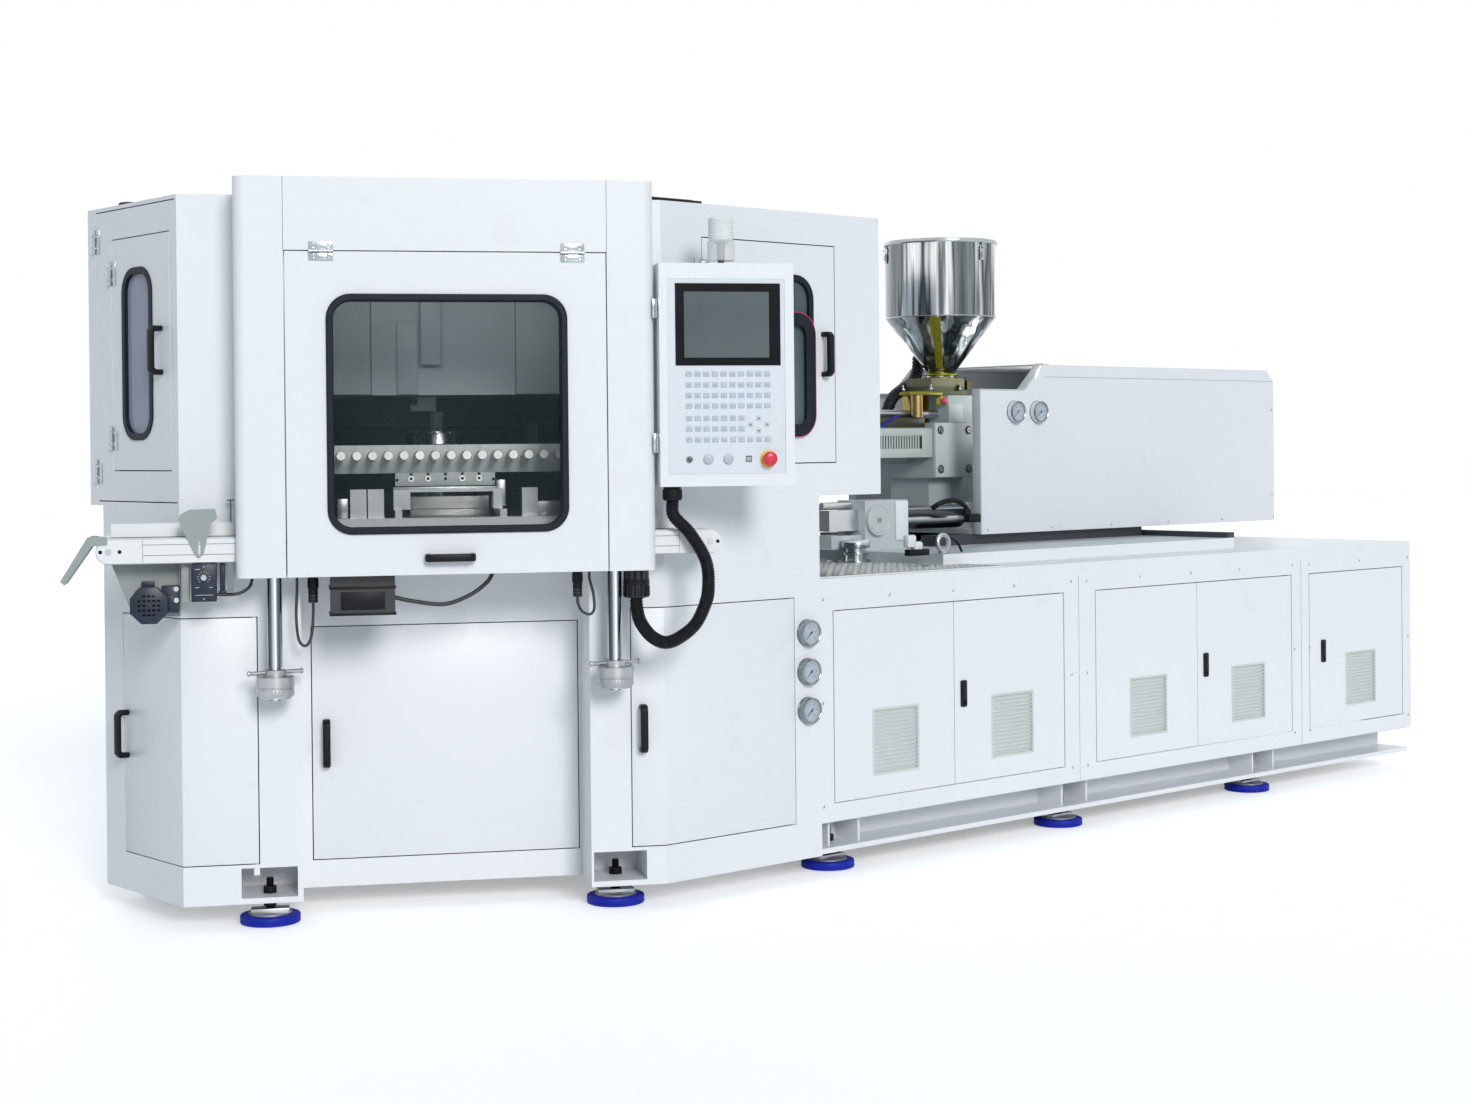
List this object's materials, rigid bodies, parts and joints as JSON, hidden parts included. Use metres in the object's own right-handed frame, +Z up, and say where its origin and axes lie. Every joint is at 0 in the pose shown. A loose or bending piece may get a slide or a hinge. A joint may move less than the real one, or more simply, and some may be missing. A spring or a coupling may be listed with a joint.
{
  "type": "injection blow moulding machine",
  "caption": "Long floor-standing machine with a turret behind a lifting window door, a belt conveyor, a swinging control box and a sliding injection unit with a hopper.",
  "frame": {"origin": "on the floor, in the middle of the footprint box", "axes": "+X along the machine from the turret cabinet to the injection unit, +Y to the back, away from the long operator side, +Z up"},
  "size_m": [5.496, 2.2026, 2.133],
  "materials": {
    "white_panel": "satin",
    "grey_casting": "satin",
    "blue_pad": "satin",
    "plated_steel": "polished",
    "machined_steel": "brushed",
    "stainless": "polished",
    "extrusion": "satin",
    "belt": "matte",
    "black_parts": "matte",
    "screen": "gloss",
    "tinted_glass": "clear",
    "clear_dome": "clear",
    "red_plastic": "gloss",
    "zinc_yellow": "satin"
  },
  "bodies": {
    "frame": {"base_cabinet": "white_panel", "bed_frame": "white_panel", "deck_plate": "white_panel", "foot_pads": "blue_pad", "foot_screws": "plated_steel", "upper_cabinet": "white_panel", "door_housing": "white_panel", "machine_table": "machined_steel", "head_frame": "grey_casting", "hinge_leaves": "plated_steel", "pressure_gauges": "plated_steel", "guide_rods": "machined_steel", "conveyor_frame": "extrusion", "conveyor_belt": "belt", "conveyor_motor": "black_parts", "injection_bed": "grey_casting", "control_conduit": "black_parts", "motor_cable": "black_parts", "lead_left": "black_parts", "lead_right": "black_parts", "loom_cable": "black_parts"},
    "turret_carrier": {"turret_column": "machined_steel"},
    "turret": {"turret_head": "machined_steel", "core_rods": "plated_steel"},
    "injection_clamp": {"injection_clamp": "machined_steel"},
    "blow_clamp": {"blow_clamp": "machined_steel"},
    "stripper": {"stripper_carriage": "machined_steel"},
    "front_door": {"front_door": "white_panel", "front_window": "tinted_glass"},
    "side_frame_door": {"side_frame_door": "white_panel"},
    "side_window_door": {"side_window_door": "white_panel", "side_window": "tinted_glass"},
    "right_door": {"right_door": "white_panel", "right_window": "tinted_glass"},
    "control_box": {"control_box": "white_panel", "control_screen": "screen", "signal_beacon": "clear_dome"},
    "emergency_stop": {"emergency_stop": "red_plastic"},
    "start_button": {"start_button": "plated_steel"},
    "stop_button": {"stop_button": "plated_steel"},
    "key_switch": {"key_switch": "plated_steel"},
    "base_door_left": {"base_door_left": "white_panel"},
    "base_door_centre": {"base_door_centre": "white_panel"},
    "base_door_right": {"base_door_right": "white_panel"},
    "drive_roller": {"drive_roller": "machined_steel"},
    "idler_roller": {"idler_roller": "machined_steel"},
    "speed_knob": {"speed_knob": "plated_steel"},
    "adjuster_left": {"adjuster_left": "machined_steel"},
    "adjuster_right": {"adjuster_right": "machined_steel"},
    "carriage": {"injection_cover": "white_panel", "barrel": "grey_casting", "hopper": "stainless"},
    "feed_screw": {"feed_screw": "machined_steel"},
    "hopper_lid": {"hopper_lid": "stainless"},
    "hopper_gate": {"hopper_gate": "zinc_yellow"},
    "bed_door_1": {"bed_door_1": "white_panel"},
    "bed_door_2": {"bed_door_2": "white_panel"},
    "bed_door_3": {"bed_door_3": "white_panel"},
    "bed_door_4": {"bed_door_4": "white_panel"},
    "bed_door_5": {"bed_door_5": "white_panel"}
  },
  "joints": [
    {"name": "front_door_lift", "type": "hinge", "parent": "frame", "child": "front_door", "pos_m": [-1.86416, -0.59801, 1.895], "axis": [-0.866, 0.5, 0], "range_deg": [0, 80]},
    {"name": "side_frame_door_swing", "type": "hinge", "parent": "frame", "child": "side_frame_door", "pos_m": [-2.41402, 0.44377, 1.6], "axis": [0, 0, -1], "range_deg": [0, 100]},
    {"name": "side_window_door_swing", "type": "hinge", "parent": "side_frame_door", "child": "side_window_door", "pos_m": [-2.41402, 0.34277, 1.6], "axis": [0, 0, -1], "range_deg": [0, 100]},
    {"name": "right_door_swing", "type": "hinge", "parent": "frame", "child": "right_door", "pos_m": [-1.06152, -0.75373, 1.6], "axis": [0, 0, -1], "range_deg": [0, 60]},
    {"name": "control_box_swing", "type": "hinge", "parent": "frame", "child": "control_box", "pos_m": [-1.35543, -0.89287, 1.55], "axis": [0, 0, -1], "range_deg": [0, 90]},
    {"name": "emergency_stop_press", "type": "slide", "parent": "control_box", "child": "emergency_stop", "axis": [0.5, 0.866, 0], "range_m": [0, 0.005]},
    {"name": "start_button_press", "type": "slide", "parent": "control_box", "child": "start_button", "axis": [0.5, 0.866, 0], "range_m": [0, 0.003], "stiffness_N_per_m": 800},
    {"name": "stop_button_press", "type": "slide", "parent": "control_box", "child": "stop_button", "axis": [0.5, 0.866, 0], "range_m": [0, 0.003], "stiffness_N_per_m": 800},
    {"name": "key_turn", "type": "hinge", "parent": "control_box", "child": "key_switch", "pos_m": [-1.28436, -0.94777, 1.31], "axis": [-0.5, -0.866, 0], "range_deg": [0, 90]},
    {"name": "base_door_left_swing", "type": "hinge", "parent": "frame", "child": "base_door_left", "pos_m": [-2.23108, -0.15754, 0.5], "axis": [0, 0, 1], "range_deg": [0, 70]},
    {"name": "base_door_centre_swing", "type": "hinge", "parent": "frame", "child": "base_door_centre", "pos_m": [-1.32221, -0.45133, 0.5], "axis": [0, 0, 1], "range_deg": [0, 85]},
    {"name": "base_door_right_swing", "type": "hinge", "parent": "frame", "child": "base_door_right", "pos_m": [-0.70802, -0.74273, 0.5], "axis": [0, 0, 1], "range_deg": [0, 90]},
    {"name": "bed_door_1_swing", "type": "hinge", "parent": "frame", "child": "bed_door_1", "pos_m": [-0.52652, -0.74273, 0.5], "axis": [0, 0, -1], "range_deg": [0, 90]},
    {"name": "bed_door_2_swing", "type": "hinge", "parent": "frame", "child": "bed_door_2", "pos_m": [0.56148, -0.74273, 0.5], "axis": [0, 0, 1], "range_deg": [0, 90]},
    {"name": "bed_door_3_swing", "type": "hinge", "parent": "frame", "child": "bed_door_3", "pos_m": [0.74848, -0.74273, 0.5], "axis": [0, 0, -1], "range_deg": [0, 90]},
    {"name": "bed_door_4_swing", "type": "hinge", "parent": "frame", "child": "bed_door_4", "pos_m": [1.90648, -0.74273, 0.5], "axis": [0, 0, 1], "range_deg": [0, 90]},
    {"name": "bed_door_5_swing", "type": "hinge", "parent": "frame", "child": "bed_door_5", "pos_m": [2.67848, -0.74273, 0.5], "axis": [0, 0, 1], "range_deg": [0, 90]},
    {"name": "mould_clamp_close", "type": "slide", "parent": "frame", "child": "injection_clamp", "axis": [0, 0, -1], "range_m": [0, 0.16]},
    {"name": "blow_clamp_close", "type": "slide", "parent": "frame", "child": "blow_clamp", "axis": [0, 0, -1], "range_m": [0, 0.16]},
    {"name": "turret_lower", "type": "slide", "parent": "frame", "child": "turret_carrier", "axis": [0, 0, -1], "range_m": [0, 0.057]},
    {"name": "turret_turn", "type": "hinge", "parent": "turret_carrier", "child": "turret", "pos_m": [-1.38902, 0.17627, 1.318], "axis": [0, 0, 1], "range_deg": [0, 360]},
    {"name": "stripper_move", "type": "slide", "parent": "frame", "child": "stripper", "axis": [-0.5, -0.866, 0], "range_m": [0, 0.06]},
    {"name": "drive_roller_turn", "type": "hinge", "parent": "frame", "child": "drive_roller", "pos_m": [-2.61, -0.04385, 1.074], "axis": [-0.5, -0.866, 0], "continuous": true},
    {"name": "idler_roller_turn", "type": "hinge", "parent": "frame", "child": "idler_roller", "pos_m": [-1.16287, -0.87935, 1.074], "axis": [-0.5, -0.866, 0], "continuous": true},
    {"name": "speed_knob_turn", "type": "hinge", "parent": "frame", "child": "speed_knob", "pos_m": [-2.41739, -0.21624, 1], "axis": [-0.5, -0.866, 0], "range_deg": [0, 270]},
    {"name": "adjuster_left_turn", "type": "hinge", "parent": "frame", "child": "adjuster_left", "pos_m": [-2.23472, -0.27783, 0.7], "axis": [0, 0, 1], "continuous": true},
    {"name": "adjuster_right_turn", "type": "hinge", "parent": "frame", "child": "adjuster_right", "pos_m": [-1.40853, -0.75484, 0.7], "axis": [0, 0, 1], "continuous": true},
    {"name": "carriage_slide", "type": "slide", "parent": "frame", "child": "carriage", "axis": [1, 0, 0], "range_m": [0, 0.1]},
    {"name": "feed_screw_turn", "type": "hinge", "parent": "carriage", "child": "feed_screw", "pos_m": [0.19098, 0.17627, 1.325], "axis": [1, 0, 0], "continuous": true},
    {"name": "hopper_lid_swing", "type": "hinge", "parent": "carriage", "child": "hopper_lid", "pos_m": [0.94698, 0.39327, 2.129], "axis": [-1, 0, 0], "range_deg": [0, 100]},
    {"name": "hopper_gate_slide", "type": "slide", "parent": "carriage", "child": "hopper_gate", "axis": [1, 0, 0], "range_m": [0, 0.09]}
  ],
  "couplings": [
    {"joint": "blow_clamp_close", "follows": "mould_clamp_close", "ratio": 1},
    {"joint": "turret_lower", "follows": "mould_clamp_close", "ratio": 0.35625},
    {"joint": "idler_roller_turn", "follows": "drive_roller_turn", "ratio": 1}
  ]
}
